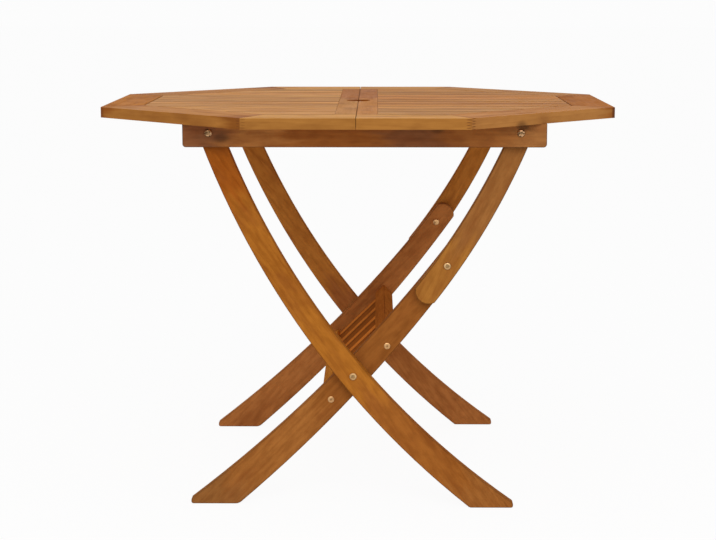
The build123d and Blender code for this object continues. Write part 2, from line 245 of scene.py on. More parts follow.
# %% Figure of the wood
BEND = (1.7, 7.0, 2.0)
PATTERNS = {
    "clouds": ((2.4, 11.0, 2.0), (0.30, 0.70)),
    "streaks": ((6.0, 52.0, 3.0), (0.30, 0.70)),
    "mottle": ((34.0, 90.0, 3.0), (0.36, 0.66)),
    "fibres": ((14.0, 320.0, 3.0), None),
    "pores": ((85.0, 1500.0, 2.0), (0.60, 0.74)),
    "patches": ((11.0, 30.0, 2.0), (0.48, 0.72)),
}
DARKENING = {"rings": 0.18, "streaks": 0.22, "clouds": 0.30, "fibres": 0.60, "pores": 0.16}
MIDDLE_MOTTLE = 0.45
PALEST = 0.278


def wood_figure(bench, grain):
    """Every pattern of one board, by name."""
    wood = {"bend": grain.noise(*BEND) - 0.5}
    wood["rings"] = growth_rings(grain, wood["bend"])
    for name, (changes, step) in PATTERNS.items():
        pattern = grain.noise(*changes)
        wood[name] = bench.ramp(pattern, *step) if step else pattern
    return wood


def weighted(wood, shares):
    """A sum of patterns, each times its share."""
    return sum(wood[name] * share for name, share in shares.items())


def darkness(wood, mottled):
    """0 in pale early wood and 1 in dark late wood."""
    return weighted(wood, DARKENING) + (wood["mottle"] - MIDDLE_MOTTLE) * mottled - PALEST


print("patterns in the wood:", len(PATTERNS) + 1)

# %% [markdown]
# A plank isn't of one colour: heartwood is darker than sapwood, and the border between them is
# wide and ragged and follows the streaks. Each length could have a finish of its own, but then the
# figure would break at the border. Each tone that we give is a middle one. The pale early wood and
# the dark late wood are worked out from it, and the figure chooses between the two.

# %% Colours along a plank
EARLY_WOOD = (1.17, 1.20, 1.22)
LATE_WOOD = (0.70, 0.62, 0.56)
RAGGED = 0.06
BORDER = 0.035


def scaled(tone, shares):
    """A tone with each of its parts scaled, as a colour socket takes it."""
    return (*(part * share for part, share in zip(tone, shares)), 1.0)


def plank_colours(bench, grain, streaks, lengths):
    """Early and late wood of a plank whose tone changes along it."""
    tone, _ = lengths[0]
    early = scaled(tone, EARLY_WOOD)
    late = scaled(tone, LATE_WOOD)
    for tone, start in lengths[1:]:
        offset = grain.along - start + (streaks - 0.5) * RAGGED
        after = bench.ramp(offset, -BORDER, BORDER)
        early = bench.blend(after, early, scaled(tone, EARLY_WOOD))
        late = bench.blend(after, late, scaled(tone, LATE_WOOD))
    return early, late


print("borders between tones:", BORDER * 2000, "mm wide")

# %% [markdown]
# The frame of the top is glued up with finger joints at its corners. On an outer edge these show
# as a zigzag. Cutting the fingers would change the solids, so they are drawn: a triangle wave
# through the thickness is set against the distance from the joint, and where the two agree there
# is a dark glue line. The four quarters of the top are alike, so the place is folded over by its
# absolute value. At the two tips of a side a dark band of painted shade stands for the shaded,
# rounded corner, together with the joint's end grain.

# %% Glue lines, and painted shade at the tips
FINGER_LENGTH = 0.016
FINGER_PITCH = 0.0048
FINGER_REACH = (0.62, 0.5)
LINE_WIDTH = (0.3, 0.05)
TIP_SHADE_BAND = (0.011, 0.005)
FAINT_ABOVE = 0.65


def finger_line(bench, grain, offset):
    """The zigzag of one joint, by the distance from the joint's middle."""
    teeth = abs((grain.through / FINGER_PITCH).maths("FRACT") - 0.5) * 2.0
    share = offset / FINGER_LENGTH + 0.5
    near = bench.ramp(abs(share - 0.5), *FINGER_REACH)
    return bench.ramp(abs(share - teeth), *LINE_WIDTH) * near


def glue_lines_and_tip_shade(bench, grain, mitres, strengths):
    """Lines where a board is joined, and painted shade at the tips of a side. A mitre is a corner of the
    top and the joint's normal.
    """
    zigzag, tip_shade = strengths
    lines = []
    for corner, normal in mitres:
        folded = bench.add("ShaderNodeVectorMath", {"operation": "ABSOLUTE"}, {0: grain.where})
        offset = bench.dot(bench.vector("SUBTRACT", folded, (*corner, 0)), (*normal, 0))
        line = finger_line(bench, grain, offset)
        lines.append(line * (1.0 - grain.face_facing * FAINT_ABOVE) * zigzag)
        if corner[0] > corner[1]:
            # Painted shade at the tip of a side, on its rounded corner, with the joint's end grain.
            tip_shade_band = bench.ramp(abs(offset), *TIP_SHADE_BAND)
            lines.append(tip_shade_band * (1.0 - grain.face_facing) * tip_shade)
    return lines


print("finger joints:", FINGER_LENGTH * 1000, "mm long")

# %% [markdown]
# Bevelled edges get painted shade, the dark line that shade draws along a board's edges. They can
# be told from faces by their normals, which lean between two of the board's own directions. End
# grain drinks oil, so it is darker. A knot, the foot of a branch, is a dark ball in the plank, a
# little drawn out along the grain: it shows on every face that cuts it, as a real one does.

# %% Painted shade on edges, oil on ends, and knots
LEANING = (0.06, 0.22)
END_GRAIN = (0.75, 0.95)
END_DARKNESS = 0.35
KNOT_STRETCH = 0.6
KNOT_SWAY = 0.01
KNOT_CORE = 0.25
KNOT_DARKNESS = 0.55


def shaded_bevels(bench, grain, spared_ends):
    """1 on bevels, where shade is painted. Those at the board's ends can be spared."""
    flat = grain.face_facing.maths("MAXIMUM", grain.edge_facing)
    flat = flat.maths("MAXIMUM", grain.end_facing)
    return bench.ramp(1.0 - flat, *LEANING) * (1.0 - grain.end_facing * spared_ends)


def knot_mark(bench, grain, bend, knot):
    """A knot is its place along, across and through the board, and its size."""
    along, across, through, size = knot
    away = (grain.along - along) * KNOT_STRETCH
    over = grain.across - across + bend * KNOT_SWAY
    down = grain.through - through
    apart = (away * away + over * over + down * down) ** 0.5
    return bench.ramp(apart, size, size * KNOT_CORE) * KNOT_DARKNESS


print("end grain is darker by", END_DARKNESS)

# %% [markdown]
# Three kinds of board need a touch of their own. The outer edges of the frame get painted shade,
# so they are deeper in colour than its upper faces, where the light falls. On the brace slats
# painted shade lies dark along the long borders, where the gaps between them are, and the wall of
# the parasol hole took up oil like end grain. These could be pieces with finishes of their own,
# but a mask from the board's directions keeps each board whole.

# %% Outer edges, brace slats and the parasol hole
BAND_SHADE = (0.13, 0.033, 0.006, 1.0)
BORE_OIL = (0.26, 0.062, 0.008, 1.0)
SHADED_OUTWARDS = (0.7, 0.3)
BAND_START = 0.26
BAND_FULL = 0.47
WALL_START = 0.0012
WALL_FULL = 0.0002


def with_shaded_rim(bench, grain, colour, rim):
    """Paints shade on a board's outer edges and leaves its upper face."""
    shaded_outside = bench.ramp(grain.face_facing, *SHADED_OUTWARDS)
    mixed = {0: shaded_outside, 6: colour, 7: (*rim, 1.0)}
    return bench.add("ShaderNodeMix", {"data_type": "RGBA", "blend_type": "MULTIPLY"}, mixed, 2)


def with_shaded_bands(bench, grain, colour, width, strength):
    """Paints shade on the two long borders of a slat."""
    borders = bench.ramp(abs(grain.through), width * BAND_START, width * BAND_FULL)
    return bench.blend(borders * strength, colour, BAND_SHADE)


def with_bore(bench, grain, colour, radius):
    """Darkens the wall of an upright hole in the middle of the top."""
    level = bench.vector("MULTIPLY", grain.where, (1, 1, 0))
    reach = bench.add("ShaderNodeVectorMath", {"operation": "LENGTH"}, {0: level}, "Value")
    wall = bench.ramp(reach, radius + WALL_START, radius + WALL_FULL)
    return bench.blend(wall, colour, BORE_OIL)


# The rims and the bands are painted shade.
print("touches: rims, oil bands and a bore")

# %% [markdown]
# The finish itself is a thin coat of oil: it deepens the colour, leaves the grain open to the
# touch and gives only a faint sheen. The layers are laid in this order: the wood with its figure,
# reddish patches, glue lines, then painted shade on the bevels, dark oil in the end grain, and
# knots. Fibres and pores also roughen the surface and raise a slight relief, so that light from the
# side brings out the grain.

# %% Oiled wood
RED = (0.22, 0.060, 0.014, 1.0)
RED_SHARE = 0.34
GLUE_LINE_AND_TIP_SHADE = (0.130, 0.040, 0.012, 1.0)
OIL_KNOTS_AND_SHADE = (0.050, 0.020, 0.008, 1.0)
MOST_OIL_AND_SHADE = 0.97
SMOOTHEST = 0.44
ROUGHENING = {"fibres": 0.14, "streaks": 0.08}
END_ROUGHNESS = 0.15
RELIEF = {"fibres": 0.6, "rings": 0.3, "pores": -0.3}
RELIEF_STRENGTH = 0.25
RELIEF_DEPTH = 0.0006


# edges is the strength of the painted shade on the bevels.
def oiled_wood(node, along_axis, through_axis, lengths, figure=1.0, edges=0.3, mottled=0.36,
               sheen=0.03, mitres=(), glue_and_tip_shade=(0.0, 0.0), rim=None, spared_ends=0.0, bands=0.0,
               bore=None, knots=()):
    """Dresses one board. lengths lists (tone, start along the board) from its lower end, and the
    rest says how strong its figure, painted bevel shade and sheen are, and which joints and
    touches it has."""
    name = f"oiled_{node}"
    finish, coat, bench = new_finish(name)
    low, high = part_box(node)
    grain = Grain(bench, (low + high) / 2, along_axis, through_axis, random.Random(name))
    wood = wood_figure(bench, grain)
    early, late = plank_colours(bench, grain, wood["streaks"], lengths)
    colour = bench.blend(darkness(wood, mottled) * figure, early, late)
    colour = bench.blend(wood["patches"] * RED_SHARE, colour, RED)
    if rim:
        colour = with_shaded_rim(bench, grain, colour, rim)
    for line in glue_lines_and_tip_shade(bench, grain, mitres, glue_and_tip_shade):
        colour = bench.blend(line, colour, GLUE_LINE_AND_TIP_SHADE)
    if bands:
        colour = with_shaded_bands(bench, grain, colour, high.y - low.y, bands)
    if bore:
        colour = with_bore(bench, grain, colour, bore)
    ends = bench.ramp(grain.end_facing, *END_GRAIN)
    # Marks: painted shade on the bevels, dark oil in the end grain, and knots.
    marks = shaded_bevels(bench, grain, spared_ends) * edges + ends * END_DARKNESS
    for knot in knots:
        marks = marks + knot_mark(bench, grain, wood["bend"], knot)
    colour = bench.blend(marks.maths("MINIMUM", MOST_OIL_AND_SHADE), colour, OIL_KNOTS_AND_SHADE)
    bench.feed(colour, coat, "Base Color")
    rough = SMOOTHEST + weighted(wood, ROUGHENING) + ends * END_ROUGHNESS
    bench.feed(rough, coat, "Roughness")
    coat.inputs["Specular IOR Level"].default_value = sheen
    raised = {"Strength": RELIEF_STRENGTH, "Distance": RELIEF_DEPTH, "Height": weighted(wood, RELIEF)}
    bench.feed(bench.add("ShaderNodeBump", None, raised), coat, "Normal")
    dress(node, finish)


print("oiled wood is ready")

# %% [markdown]
# Every board was cut from its own plank, so no two are alike. A tone for each kind of board, a
# small change from board to board and a seed of its own for the pattern give each piece its own
# face. Tones are written as the light that they reflect, from pale to dark. The grain will run
# the long way of each board, so three directions are named too.

# %% Tones and directions
STRAW = (0.60, 0.275, 0.068)
WHEAT = (0.59, 0.265, 0.062)
HONEY = (0.535, 0.215, 0.036)
BRICK = (0.66, 0.212, 0.036)
BISCUIT = (0.47, 0.190, 0.042)
TAN = (0.45, 0.168, 0.030)
FAWN = (0.40, 0.158, 0.039)
CEDAR = (0.385, 0.139, 0.037)
COPPER = (0.40, 0.133, 0.023)
ORANGE = (0.37, 0.129, 0.017)
AMBER = (0.325, 0.128, 0.024)
CLAY = (0.325, 0.118, 0.026)
RUST = (0.34, 0.112, 0.020)
HAZEL = (0.28, 0.111, 0.029)
BROWN = (0.305, 0.100, 0.018)
RUSSET = (0.33, 0.090, 0.011)
UMBER = (0.255, 0.085, 0.017)
DARK = (0.215, 0.080, 0.028)
UP = (0, 0, 1)
RIGHT = (1, 0, 0)
BACK = (0, 1, 0)
WARMTH = 0.05
chance = random.Random(11)


def varied(tone, amount):
    """A tone a little lighter or darker, warmer or cooler than the given one."""
    lift = 1 + chance.uniform(-amount, amount)
    warm = chance.uniform(-WARMTH, WARMTH)
    return tone[0] * lift, tone[1] * lift * (1 - warm), tone[2] * lift * (1 - 2 * warm)


print("tones from", STRAW, "to", DARK)

# %% [markdown]
# Each half of the top has eleven slats that run left to right, and a seam board that runs front to
# back and holds half of the parasol hole. One finish could serve for all of them, but the top would
# look printed, so each slat gets its own. The left half is the paler one. The slats' long bevels
# get painted shade, which stands for the shaded gaps between them. It is darkest on the right,
# where the gaps show most, and spared at their ends, because they lie close to the frame. The seam
# boards turn redder behind the hole.

# %% Slats and seam boards of the top
SLATS_PER_HALF = 11
PALE_SLATS = 3
PARASOL_RADIUS = 0.023
SEAM_SPREAD = 0.03
SEAM_CHANGE = 0.05
slat_look = {"figure": 1.4, "mottled": 0.10, "sheen": 0.05, "spared_ends": 1.3}
seam_look = {"figure": 0.8, "mottled": 0.15, "edges": 0.15, "bore": PARASOL_RADIUS}
halves = (("left", WHEAT, 0.11, 0.7, BISCUIT), ("right", HONEY, 0.15, 1.2, TAN))
for half, slat_tone, spread, edges, seam_tone in halves:
    for number in range(1, SLATS_PER_HALF + 1):
        tone = WHEAT if number <= PALE_SLATS else slat_tone
        lengths = [(varied(tone, spread), 0)]
        oiled_wood(f"top_slat_{half}_{number}", RIGHT, UP, lengths, edges=edges, **slat_look)
    lengths = [(varied(seam_tone, SEAM_SPREAD), 0), (COPPER, SEAM_CHANGE)]
    oiled_wood(f"seam_board_{half}", BACK, UP, lengths, **seam_look)
print("slats:", 2 * SLATS_PER_HALF, "seam boards:", len(halves))

# %% [markdown]
# The frame's joints lie at the eight corners of the top. Near the front and back boards the joint
# halves the corner, as a mitre does. At the sides it is longer, because the side board is wider
# than the corner board. A corner and a normal in plan are enough to find a joint anywhere.

# %% Joints of the frame
HALF = 0.490
MITRE = math.radians(22.5)
SIDE_WIDTH = 0.076
SIDE_STEP = 0.0513
CORNER = HALF * math.tan(MITRE)
front_mitre = ((CORNER, HALF), (math.cos(MITRE), -math.sin(MITRE)))
side_run = Vector((SIDE_WIDTH, SIDE_STEP)).normalized()
side_mitre = ((HALF, CORNER), (side_run.y, -side_run.x))
print("half a side of the top:", round(CORNER, 4), "m")

# %% [markdown]
# Ten boards make the frame: two sides, four corners, and a front and a back in two halves. In the
# corner boards the grain runs along the slope, and their planks change to a red heart near the
# tips. The glue lines stand out more on the right. One knot cuts the lower edge of a corner board.
# What the boards share is given once, and each kind adds its own joints and the painted shade of its rim.

# %% Frame boards of the top
SLOPE = math.sqrt(0.5)
TIP = 0.185
HEART = 0.15
FRAME_SPREAD = 0.03
# The rim tones paint shade on the frame's outer faces, which are darker than the lit tops.
DULL_RIM_SHADE = (0.71, 0.69, 0.62)
DEEP_RIM_SHADE = (0.555, 0.49, 0.40)
PINK_RIM_SHADE = (0.78, 0.84, 1.0)
corner_knot = (-0.0745, -0.033, -0.011, 0.013)
# Each side gives the strength of its glue zigzag and of the painted shade at its tips.
frame_sides = (("left", -1, TAN, (0.5, 0.3), DULL_RIM_SHADE), ("right", 1, COPPER, (0.9, 0.95), PINK_RIM_SHADE))
for half, hand, side_tone, glue_and_tip_shade, corner_rim_shade in frame_sides:
    look = {"figure": 0.9, "edges": 0.2, "mottled": 0.18, "glue_and_tip_shade": glue_and_tip_shade}
    lengths = [(varied(side_tone, FRAME_SPREAD), 0)]
    side_look = {"mitres": [side_mitre], "rim": DULL_RIM_SHADE, "sheen": 0.008}
    oiled_wood(f"side_board_{half}", BACK, UP, lengths, **look, **side_look)
    for end, way in (("front", -1), ("back", 1)):
        lengths = [(varied(STRAW, FRAME_SPREAD), 0)]
        end_look = {"mitres": [front_mitre], "rim": DEEP_RIM_SHADE}
        oiled_wood(f"{end}_board_{half}", RIGHT, UP, lengths, **look, **end_look)
        slant = (SLOPE, -hand * way * SLOPE, 0)
        tone = varied(BISCUIT, FRAME_SPREAD)
        lengths = [(tone, 0), (RUSSET, TIP)]
        if half == "left":
            lengths = [(RUSSET, 0), (tone, -TIP), (BROWN, HEART)]
        knots = [corner_knot] if (end, half) == ("front", "right") else []
        corner_look = {"mitres": [front_mitre, side_mitre], "rim": corner_rim_shade, "knots": knots}
        oiled_wood(f"{end}_corner_board_{half}", slant, UP, lengths, **look, **corner_look)
print("frame boards:", len(frame_sides) * 5)

# %% [markdown]
# The rails are the roughest wood on the table, because they are hardly seen: dark heartwood at one
# end, knots, and pale sapwood at the other. Each length starts at its distance from the middle.
# The back rail is set up the same way, from other planks.

# %% Rails
rail_look = {"edges": 0.6, "sheen": 0.08}
front_lengths = [(DARK, 0), (FAWN, -0.26), (BROWN, -0.145), (DARK, 0.03), (CLAY, 0.15), (HAZEL, 0.27)]
front_knots = [
    (-0.262, 0.004, -0.011, 0.013),
    (0.133, -0.012, -0.011, 0.012),
    (0.289, -0.016, -0.011, 0.010),
]
back_lengths = [(BROWN, 0), (RUSSET, -0.10), (BROWN, 0.14)]
back_knots = [(0.06, 0.008, 0.011, 0.012)]
oiled_wood("front_rail", RIGHT, BACK, front_lengths, knots=front_knots, **rail_look)
oiled_wood("back_rail", RIGHT, BACK, back_lengths, knots=back_knots, **rail_look)
print("rails:", 2, "knots:", len(front_knots) + len(back_knots))

# %% [markdown]
# A curved leg is sawn from a wide, straight plank. Its grain runs along the chord from end to end,
# and the rings leave the curved edges in long flames. The outer and inner legs come from planks of
# different colour, as they do on the table. Their sheen is close to none, because at a slant even
# a little gloss would draw a white line along the bevels.

# %% Legs and links
def chord(rise, run):
    """The direction between the ends of a curved piece, seen from the front."""
    length = math.hypot(rise, run)
    return run / length, 0, rise / length


falling = chord(-0.72, 0.53)
rising = chord(0.49, 0.46)
steep = chord(0.31, 0.16)
leg_look = {"figure": 1.1, "edges": 0.3}
link_look = {"figure": 1.0, "edges": 0.4}
curved_pieces = {
    "outer_leg_front": (falling, leg_look, [(RUSSET, 0), (ORANGE, -0.30), (BROWN, 0.12), (CLAY, 0.37)]),
    "outer_leg_back": (falling, leg_look, [(TAN, 0), (CEDAR, 0.0)]),
    "inner_leg_front": (rising, leg_look, [(HAZEL, 0), (CLAY, -0.27), (UMBER, -0.05)]),
    "inner_leg_back": (rising, leg_look, [(CEDAR, 0)]),
    "upper_link_front": (steep, link_look, [(AMBER, 0), (HAZEL, -0.06)]),
    "upper_link_back": (steep, link_look, [(TAN, 0)]),
}
for node, (run, look, lengths) in curved_pieces.items():
    oiled_wood(node, run, BACK, lengths, sheen=0.002, **look)
print("legs and links:", len(curved_pieces))

# %% [markdown]
# The brace ties the two inner legs together: six short slats between two bars that run front to
# back. It leans with the legs, so its slats take their grain from that lean. They are the reddest
# wood here, with painted shade along their borders, where the gaps between them are, and quite
# matt. They differ more than the slats of the top do, so their tones are spread wider.

# %% Brace
LEAN = math.radians(44.3)
BRACE_SLATS = 6
SLAT_SPREAD = 0.2
BAR_SPREAD = 0.07
brace_run = (math.cos(LEAN), 0, math.sin(LEAN))
for number in range(1, BRACE_SLATS + 1):
    lengths = [(varied(BRICK, SLAT_SPREAD), 0)]
    # bands paints shade along the slats' long borders.
    oiled_wood(f"brace_slat_{number}", brace_run, BACK, lengths, figure=0.9, sheen=0.0, bands=0.75)
brace_bars = (("upper_brace_bar", RUST), ("lower_brace_bar", HONEY))
for node, tone in brace_bars:
    oiled_wood(node, BACK, brace_run, [(varied(tone, BAR_SPREAD), 0)], sheen=0.0)
print("brace slats:", BRACE_SLATS, "bars:", len(brace_bars))

# %% [markdown]
# The fixings are zinc-plated steel: bright, a little yellow and finely brushed by the lathe. A
# metal's colour is its reflection, so the shader is fully metallic, with a roughness that changes
# in fine flecks and a base that darkens where the plating has dulled. A mark on the faces of a
# socket's floor paints shade into it. The rail bolts and their nuts sit in the shade of the top, and
# their base is painted nearly black in broad patches for that shade. The screws and sleeve nuts are
# of a warmer batch.

# %% Zinc-plated steel
SOCKET_SHADE = (0.16, 0.095, 0.04, 1.0)
SOCKET_SHADE_SHARE = 0.45
EVEN = (160.0, 0.4, 0.7)
SHADED_PATCHES = (330.0, 0.42, 0.54)
BRUSHED = 900.0
SHINIEST = 0.24
BLOOM = 0.22


def zinc_plate(name, bright, dull, dulling):
    """dulling is the changes of the dulled patches, and where their soft step starts and ends."""
    finish, coat, bench = new_finish(name)
    changes, start, full = dulling
    where = bench.add("ShaderNodeTexCoord", None, None, "Object")
    bloom = bench.add("ShaderNodeTexNoise", None, {"Vector": where, "Scale": BRUSHED, "Detail": 3.0})
    dulled = bench.add("ShaderNodeTexNoise", None, {"Vector": where, "Scale": changes, "Detail": 2.0})
    colour = bench.blend(bench.ramp(dulled, start, full), (*bright, 1.0), (*dull, 1.0))
    # The socket floors get painted shade.
    painted_socket_shade = bench.add("ShaderNodeAttribute", {"attribute_name": "painted_socket_shade"}, None, "Fac")
    bench.feed(bench.blend(painted_socket_shade * SOCKET_SHADE_SHARE, colour, SOCKET_SHADE), coat, "Base Color")
    bench.feed(SHINIEST + bloom * BLOOM, coat, "Roughness")
    coat.inputs["Metallic"].default_value = 1.0
    return finish


zinc = zinc_plate("zinc_plate", (0.66, 0.43, 0.205), (0.46, 0.285, 0.13), EVEN)
warm_zinc = zinc_plate("warm_zinc_plate", (0.64, 0.37, 0.165), (0.45, 0.245, 0.105), EVEN)
# Painted shade: the rail fixings' dull patches are nearly black, for the shade under the top.
shaded_zinc = zinc_plate("shaded_zinc_plate", (0.66, 0.39, 0.20), (0.13, 0.07, 0.03), SHADED_PATCHES)
dress("crossing_nuts", zinc)
print("metals:", zinc.name, warm_zinc.name, shaded_zinc.name)

# %% [markdown]
# Bolts repeat, so a Geometry Nodes tree makes them, and one tree with named sizes serves for bolts,
# nuts and screws. Its inputs are what a turner would be told: the head, the socket for the key, the
# shank, and the metal. A switch leaves the socket out for the nuts.

# %% Inputs of the fixing tree
SIZES = ("Head Radius", "Head Height", "Socket Radius", "Socket Depth", "Shank Radius", "Shank Length")
TREE_INPUTS = {
    "Geometry": "NodeSocketGeometry",
    **dict.fromkeys(SIZES, "NodeSocketFloat"),
    "Socketed": "NodeSocketBool",
    "Metal": "NodeSocketMaterial",
}


def empty_tree(name):
    """A bench with a new tree, and a wire for each of its inputs."""
    tree = bpy.data.node_groups.new(name, "GeometryNodeTree")
    tree.is_modifier = True
    for label, kind in TREE_INPUTS.items():
        tree.interface.new_socket(label, in_out="INPUT", socket_type=kind)
    tree.interface.new_socket("Geometry", in_out="OUTPUT", socket_type="NodeSocketGeometry")
    bench = Bench(tree)
    given = tree.nodes.new("NodeGroupInput")
    return bench, {socket.name: Wire(bench, socket) for socket in given.outputs if socket.name}


print("inputs of the tree:", len(TREE_INPUTS))

# %% [markdown]
# A head starts as a plain, low cylinder. Its underside is narrowed to a neck and drawn out into the
# shank, and its top is drawn up and narrowed three times, which makes the dome. This is how a turner
# works down a blank, and it needs no profile to be drawn. The last face, the crown, is kept.

# %% A turned head
RIM_FACETS = 48
RIM_SHARE = 0.4
SHANK_TAPER = 0.96
DOME_STEPS = ((0.28, 0.95), (0.20, 0.90), (0.12, 0.85))


def drawn(bench, shape, face, rise, narrow):
    """Extrudes a face and narrows its end. Gives the new shape and that end."""
    wanted = {"Mesh": shape, "Selection": face, "Offset Scale": rise, "Individual": False}
    mesh = bench.add("GeometryNodeExtrudeMesh", {"mode": "FACES"}, wanted)
    end = Wire(bench, mesh.socket.node.outputs["Top"])
    narrowed = {"Geometry": mesh, "Selection": end, "Scale": narrow}
    return bench.add("GeometryNodeScaleElements", {"domain": "FACE"}, narrowed), end


def turned_head(bench, size):
    """A domed head on its shank, and the face of its crown."""
    height = size["Head Height"]
    rim = {"Vertices": RIM_FACETS, "Radius": size["Head Radius"], "Depth": height * RIM_SHARE}
    blank = bench.add("GeometryNodeMeshCylinder", {"fill_type": "NGON"}, rim, "Mesh")
    crown = Wire(bench, blank.socket.node.outputs["Top"])
    under = Wire(bench, blank.socket.node.outputs["Bottom"])
    lift = bench.add("ShaderNodeCombineXYZ", None, {2: height * (RIM_SHARE / 2)})
    seated = bench.add("GeometryNodeSetPosition", None, {"Geometry": blank, "Offset": lift})
    waist, neck = drawn(bench, seated, under, 0.0, size["Shank Radius"] / size["Head Radius"])
    shape, _ = drawn(bench, waist, neck, size["Shank Length"], SHANK_TAPER)
    for rise, narrow in DOME_STEPS:
        shape, crown = drawn(bench, shape, crown, height * rise, narrow)
    return shape, crown


print("steps of the dome:", len(DOME_STEPS))

# %% [markdown]
# The socket takes a hexagon key. The crown is inset, and the points of its inner ring are moved to
# a hexagon: along each sixth of a turn, a side lies at the socket's radius divided by the cosine of
# the angle from its middle. Then the face is sunk, and its floor is marked for painted shade, which
# the metal darkens. A boolean cut would do it too, but leaves long, thin faces.

# %% A hexagon socket
SIXTH = math.pi / 3
INSET = 0.6
SOCKET_TAPER = 0.97


def hexagon_socket(bench, size, head, crown):
    """The head with a socket in its crown."""
    inset, mouth = drawn(bench, head, crown, 0.0, INSET)
    at = bench.add("GeometryNodeInputPosition")
    parts = bench.add("ShaderNodeSeparateXYZ", None, {0: at})
    x, y, z = (Wire(bench, socket) for socket in parts.socket.node.outputs)
    turn = ((y.maths("ARCTAN2", x) + 2 * math.pi) / SIXTH).maths("FRACT") * SIXTH - SIXTH / 2
    reach = size["Socket Radius"] / turn.maths("COSINE")
    spread = reach / (x * x + y * y) ** 0.5
    hexagon = bench.add("ShaderNodeCombineXYZ", None, {0: x * spread, 1: y * spread, 2: z})
    pulled = {"Geometry": inset, "Selection": mouth, "Position": hexagon}
    shaped = bench.add("GeometryNodeSetPosition", None, pulled)
    sunk, floor = drawn(bench, shaped, mouth, 0.0 - size["Socket Depth"], SOCKET_TAPER)
    # The socket floor is marked for painted shade.
    painted_socket_shade = {"Geometry": sunk, "Selection": floor, "Name": "painted_socket_shade", "Value": 1.0}
    on_faces = {"data_type": "FLOAT", "domain": "FACE"}
    return bench.add("GeometryNodeStoreNamedAttribute", on_faces, painted_socket_shade)


print("socket sides:", round(2 * math.pi / SIXTH))

# %% [markdown]
# Last, the tree puts one fixing on every point of a small mesh and turns it the way that the
# point's own arrow shows. Copies of one shape are quick to place as instances, but the model needs
# plain faces, so they are made real and given their metal at the end.

# %% The tree that makes fixings
def fixing_tree():
    """A fixing on every point that comes in."""
    bench, size = empty_tree("turned_fixing")
    head, crown = turned_head(bench, size)
    sunk = hexagon_socket(bench, size, head, crown)
    either = {"Switch": size["Socketed"], "False": head, "True": sunk}
    one = bench.add("GeometryNodeSwitch", {"input_type": "GEOMETRY"}, either)
    arrow = bench.add("GeometryNodeInputNamedAttribute", {"data_type": "FLOAT_VECTOR"}, {"Name": "arrow"})
    aimed = bench.add("FunctionNodeAlignRotationToVector", {"axis": "Z"}, {"Vector": arrow})
    seated = {"Points": size["Geometry"], "Instance": one, "Rotation": aimed}
    copies = bench.add("GeometryNodeInstanceOnPoints", None, seated)
    real = bench.add("GeometryNodeRealizeInstances", None, {"Geometry": copies})
    plated = {"Geometry": real, "Material": size["Metal"]}
    finished = bench.add("GeometryNodeSetMaterial", None, plated)
    bench.feed(finished, bench.tree.nodes.new("NodeGroupOutput"), "Geometry")
    return bench.tree


turned_fixing = fixing_tree()
print("fixing tree:", len(turned_fixing.nodes), "nodes")

# %% [markdown]
# One call makes one kind of fixing for one moving body. It puts a point at every seat, lets the
# tree grow the metal there, keeps the result as a plain mesh and hands it to the body that it
# travels with, in place of the plain solids. The points and their modifier are only a mould, so
# they are thrown away before the piece is handed over.

# %% Making fixings
CREASE = math.radians(30)


def grown(name, seats, wanted):
    """The mesh that the tree grows on the seats."""
    points = bpy.data.meshes.new(name + "_points")
    points.from_pydata([seat[:3] for seat in seats], [], [])
    arrows = points.attributes.new("arrow", "FLOAT_VECTOR", "POINT")
    for number, seat in enumerate(seats):
        arrows.data[number].vector = (0, seat[3], 0)
    mould = bpy.data.objects.new(name + "_mould", points)
    bpy.context.scene.collection.objects.link(mould)
    step = mould.modifiers.new("fixings", "NODES")
    step.node_group = turned_fixing
    for item in turned_fixing.interface.items_tree:
        if item.in_out == "INPUT" and item.name in wanted:
            step[item.identifier] = wanted[item.name]
    bpy.context.view_layer.update()
    ready = mould.evaluated_get(bpy.context.evaluated_depsgraph_get())
    made = bpy.data.meshes.new_from_object(ready)
    bpy.data.objects.remove(mould)
    return made


def add_fixings(name, node, body, seats, sizes, shank, socketed, metal):
    """seats lists (x, y, z, arrow in y) for each fixing."""
    wanted = dict(zip(SIZES, (*sizes, shank)), Socketed=socketed, Metal=metal)
    made = grown(name, seats, wanted)
    made.name = name
    made.shade_smooth()
    made.set_sharp_from_angle(angle=CREASE)
    piece = bpy.data.objects.new(name, made)
    bpy.context.scene.collection.objects.link(piece)
    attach(piece, body)
    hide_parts(node)
    print(name, "faces", len(made.polygons))


print("fixings keep edges sharper than", round(math.degrees(CREASE)), "degrees")

# %% [markdown]
# Each fixing sits where the solids say: on its own axis, seated on the face of the wood. So the
# axes are read from the solids' boxes, and only the depths of the faces are given. Front and back
# are alike. The arrow of a bolt points out of the wood, at whoever holds the key, and that of a
# nut points inwards. A kind of fixing is a list of sizes in the order of the tree's inputs.

# %% Seats of the fixings
BOLT = (0.0070, 0.0030, 0.0034, 0.0022, 0.0040)
NUT = (0.0068, 0.0070, 0.0025, 0.0016, 0.0040)
SCREW = (0.0060, 0.0009, 0.0018, 0.0014, 0.00225)
BOLT_RADIUS = BOLT[0]
SCREW_RADIUS = SCREW[0]
RAIL_FACE = 0.3562
LEG_FACE = 0.3330
NUT_FACE = 0.3107
INNER_FACE = 0.3098
INSIDE = 0.2878
CLEARANCE = 0.0003


def middle_axis(node):
    """The X and Z of fixings that share one axis."""
    low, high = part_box(node)
    return [((low.x + high.x) / 2, (low.z + high.z) / 2)]


def pairs(places, depth, inwards=False):
    """Seats at the same places on the front and on the back."""
    turn = -1 if inwards else 1
    return [(x, side * depth, z, side * turn) for side in (-1, 1) for x, z in places]


